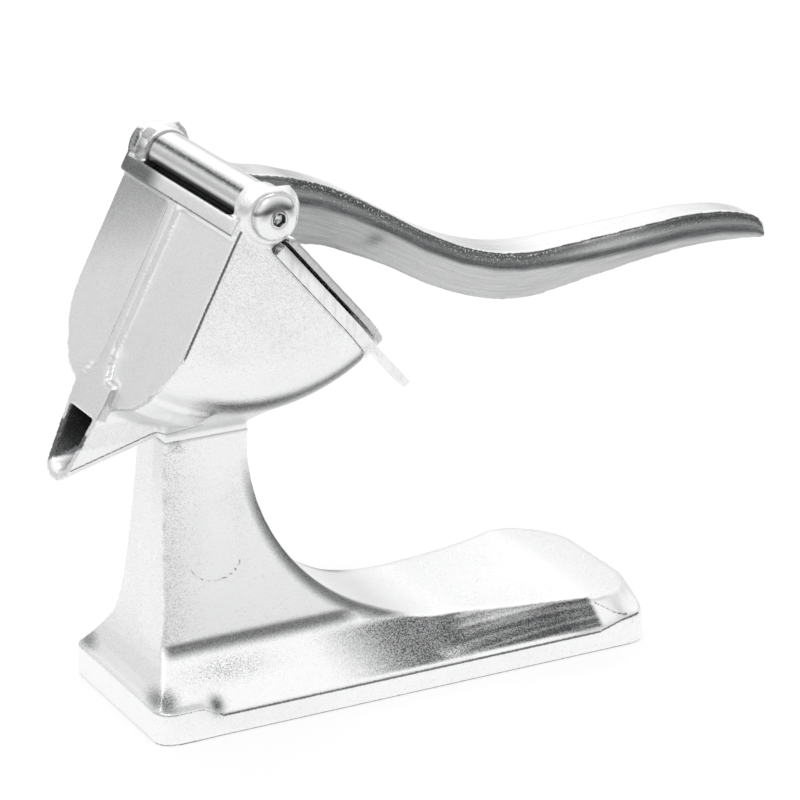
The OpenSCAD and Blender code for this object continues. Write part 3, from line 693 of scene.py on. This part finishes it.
def headOutline(look, stem, length):
    # radius, height and how far the row is six-sided: the socket, the dome (radius times sine of the turn,
    # height times its cosine to the power 0.8), the rim and the stem
    r, h, flat = look["headRadius"], look["headHeight"], look["socket"] / 2
    turn = np.linspace(0.36, 1.45, 16)
    dome = np.stack([r * np.sin(turn), h * np.cos(turn) ** 0.8, 0 * turn], axis=1)
    floor = h - look["socketDepth"]
    return np.concatenate([
        [[0.0002, floor - 0.0005, 0], [flat * 0.8, floor, 1], [flat, floor + 0.0003, 1],
         [flat, h - 0.0008, 1], [flat + 0.0003, h - 0.0003, 0.6], [flat + 0.0007, h - 0.0001, 0]],
        dome,
        [[r, 0.0006, 0], [r - 0.0003, 0.0, 0], [stem + 0.0003, 0.0, 0], [stem, -0.0004, 0],
         [stem, -length + 0.0006, 0], [stem - 0.0006, -length, 0], [0.0002, -length, 0]]])


def hingeHead(name, material, side, stem, length, nodeName):
    # the outline turned about the pin; a six-sided row has its radius over the cosine within each sixth
    outline = headOutline(hingeLook, stem, length)
    angle = np.linspace(0, 2 * math.pi, hingeLook["turns"], endpoint=False)
    sixth = (angle + math.pi / 6) % (math.pi / 3) - math.pi / 6
    radius = outline[:, :1] * (1 + outline[:, 2:] * (1 / np.cos(sixth) - 1))
    along = hingeLook["face"] + outline[:, 1:2] + 0 * angle
    placed = [hinge[0] + radius * np.cos(angle), side * along, hinge[2] + radius * np.sin(angle)]
    mesh = tubeMesh(name, np.stack(placed, axis=-1))
    finishPiece(name, mesh, material, nodeName, "stand", headTones)
    mesh.set_sharp_from_angle(angle=hingeLook["sharpFrom"])


def headTones(points, normals):
    # bells over the distance from the pin: painted shade on the socket wall, a painted dark reflection in a
    # crescent on the dome's upper part, a dark ring at the rim
    local = points - hingeMm
    reach = np.hypot(local[:, 0], local[:, 2])
    proud = np.abs(local[:, 1]) - hingeLook["face"] * 1000
    well = bump(reach, 2.7, 1.0) * (proud > 0) * (proud < 5.3) * 0.95
    crown = bump(reach, 5.9, 2.0) * ease(local[:, 2], -1.5, 4.0) * (proud > 0) * 0.78
    rim = bump(reach, 9.4, 0.5) * (proud > 0) * 0.4
    return {"shade": np.maximum.reduce([well, crown, rim]), "speckle": 0.3 * crown}


screwFinish = brushedFinish("screwSteel", hingeLook)
hingeHead("hingeScrewPiece", screwFinish, -1, hingeLook["shankRadius"], hingeLook["shankLength"],
          "hinge_screw")
hingeHead("hingeSleevePiece", screwFinish, 1, hingeLook["sleeveRadius"], hingeLook["sleeveLength"],
          "hinge_sleeve")

hiddenLook = dict(hingeLook, light=0.6, mid=0.4, rough=0.32)
for hiddenName in ("column_screws", "column_washers"):
    node = nodes[hiddenName]
    node.data.materials.clear()
    node.data.materials.append(brushedFinish(hiddenName + "Metal", hiddenLook))
print("hardware done")


# studio

studio = {"floorHalf": 30, "floorLevel": 0.93, "floorSeen": 0.72, "floorMirrored": 0.95, "horizon": 0.26,
          "roofStart": -0.02, "roofEnd": 0.30, "front": (-0.471, -0.882), "frontRange": (-0.2, 0.6),
          "frontLift": 0.16}


def areaLight(name, place, aim, size, power):
    # a disc lamp at its place, turned so that its -Z axis points from there to its aim
    data = bpy.data.lights.new(name, "AREA")
    data.shape = "DISK"
    data.size = size
    data.energy = power
    lamp = bpy.data.objects.new(name, data)
    lamp.location = place
    lamp.rotation_euler = (Vector(aim) - Vector(place)).to_track_quat("-Z", "Y").to_euler()
    bpy.context.scene.collection.objects.link(lamp)


areaLight("keyLamp", (-0.7, -0.6, 1.9), (0, 0, 0.1), 0.8, 7)
areaLight("backLamp", (0.3, 1.3, 1.6), (0, 0, 0.15), 0.9, 5)


def paperFinish():
    # matte white paper; seen directly or mirrored it is lifted towards plain white, its shadow stays
    bench = Bench(bpy.data.materials.new("paper"))
    camera, glossy, through = bench.rays("Camera", "Glossy", "Transmission")
    lifted = camera * studio["floorSeen"] + (glossy + through).atMost(1.0) * studio["floorMirrored"]
    matte = bench.add("ShaderNodeBsdfDiffuse", {}, {"Color": grey(studio["floorLevel"])})
    glow = bench.add("ShaderNodeEmission", {}, {"Color": grey(1.0), "Strength": 1.0})
    mix = bench.add("ShaderNodeMixShader", {}, {
        0: lifted, 1: Wire(bench, matte.outputs[0]), 2: Wire(bench, glow.outputs[0])})
    bench.tree.links.new(mix.outputs[0], bench.output.inputs[0])
    return bench.owner


half = studio["floorHalf"]
corners = [(-half, -half, 0), (half, -half, 0), (half, half, 0), (-half, half, 0)]
floorMesh = bpy.data.meshes.new("floor")
floorMesh.from_pydata(corners, [], [(0, 1, 2, 3)])
floor = bpy.data.objects.new("floor", floorMesh)
bpy.context.scene.collection.objects.link(floor)
floorMesh.materials.append(paperFinish())


def whiteRoom():
    # white where it is seen; metal mirrors the same white roof above a softer, greyer horizon
    bench = Bench(bpy.data.worlds.new("whiteRoom"), "ShaderNodeOutputWorld", "Generated")
    camera, glossy, through = bench.rays("Camera", "Glossy", "Transmission")
    split = bench.add("ShaderNodeSeparateXYZ", {}, {0: bench.place})
    x, y, z = (Wire(bench, split.outputs[i]) for i in range(3))
    facing = x * studio["front"][0] + y * studio["front"][1]
    lift = bench.between(facing, *studio["frontRange"]) * studio["frontLift"]
    roof = bench.between(z - lift, studio["roofStart"], studio["roofEnd"])
    mirrored = studio["horizon"] + (1.0 - studio["horizon"]) * roof
    level = (1.0 - glossy) + mirrored * glossy
    seen = (camera + through).atMost(1.0)
    strength = level * (1.0 - seen) + seen
    sky = bench.add("ShaderNodeBackground", {}, {"Color": grey(1.0), "Strength": strength})
    bench.tree.links.new(sky.outputs[0], bench.output.inputs[0])
    return bench.owner


bpy.context.scene.world = whiteRoom()
print("studio done")


# camera, its focal length in pixels of an image 800 wide

view = {"place": (-0.68269, -1.31270, 0.66480), "azimuth": -28.09, "elevation": 20.30, "focal": 3742.65,
        "imageWidth": 800, "sensor": 36}
cameraData = bpy.data.cameras.new("camera")
cameraData.sensor_width = view["sensor"]
cameraData.lens = view["focal"] / view["imageWidth"] * view["sensor"]
cameraData.clip_start = 0.05
cameraData.clip_end = 100
camera = bpy.data.objects.new("camera", cameraData)
camera.location = view["place"]
turn, lift = math.radians(view["azimuth"]), math.radians(view["elevation"])
back = Vector((math.sin(turn) * math.cos(lift), -math.cos(turn) * math.cos(lift), math.sin(lift)))
camera.rotation_euler = (-back).to_track_quat("-Z", "Y").to_euler()
bpy.context.scene.collection.objects.link(camera)
bpy.context.scene.camera = camera
bpy.context.scene.view_settings.view_transform = "Standard"

print("scene ready")
